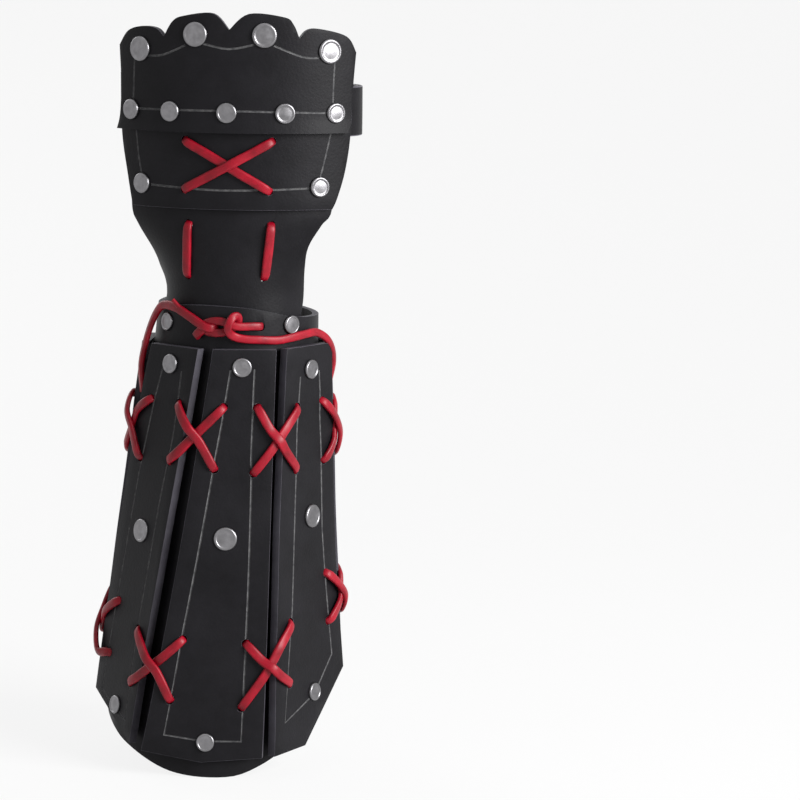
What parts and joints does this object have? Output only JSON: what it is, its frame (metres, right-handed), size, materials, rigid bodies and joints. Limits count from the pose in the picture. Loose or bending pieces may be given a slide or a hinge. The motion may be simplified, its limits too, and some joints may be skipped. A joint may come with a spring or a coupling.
{
  "type": "leather vambrace",
  "caption": "Leather vambrace of riveted, laced slats on an open forearm shell, with a hinged hand guard and palm strap.",
  "frame": {"origin": "middle of the arm opening at the elbow end, level with the shell's lowest point in front", "axes": "+Z along the forearm towards the fingers, -Y out of the back of the forearm, +X to the right seen from that side"},
  "size_m": [0.1395, 0.1235, 0.3842],
  "materials": {
    "black_leather": "semi-gloss",
    "red_lace": "semi-gloss",
    "nickel": "polished"
  },
  "bodies": {
    "forearm": {"closure_lace": "red_lace", "forearm_shell": "black_leather", "lower_lace_a": "red_lace", "lower_lace_b": "red_lace", "slat_center": "black_leather", "slat_left": "black_leather", "slat_outer_left": "black_leather", "slat_outer_right": "black_leather", "slat_right": "black_leather", "slat_rivets_bottom": "nickel", "slat_rivets_bottom_backs": "nickel", "slat_rivets_middle": "nickel", "slat_rivets_middle_backs": "nickel", "slat_rivets_top": "nickel", "slat_rivets_top_backs": "nickel", "tie_knot": "red_lace", "tie_lace": "red_lace", "upper_lace_a": "red_lace", "upper_lace_b": "red_lace", "wrist_rivets": "nickel", "wrist_rivets_backs": "nickel"},
    "hand": {"wrist_tongue": "black_leather", "hand_plate": "black_leather", "knuckle_plate": "black_leather", "palm_strap": "black_leather", "knuckle_rivets": "nickel", "knuckle_rivets_backs": "nickel", "knuckle_row_rivets": "nickel", "knuckle_row_rivets_backs": "nickel", "hand_plate_rivets": "nickel", "hand_plate_rivets_backs": "nickel", "hand_lace": "red_lace"}
  },
  "joints": [
    {"name": "wrist_flex", "type": "hinge", "parent": "forearm", "child": "hand", "pos_m": [0.007, -0.038, 0.247], "axis": [0.9925, -0.1219, 0], "range_deg": [-40, 20], "stiffness_Nm_per_rad": 1.2, "deforming": ["wrist_tongue"]}
  ]
}
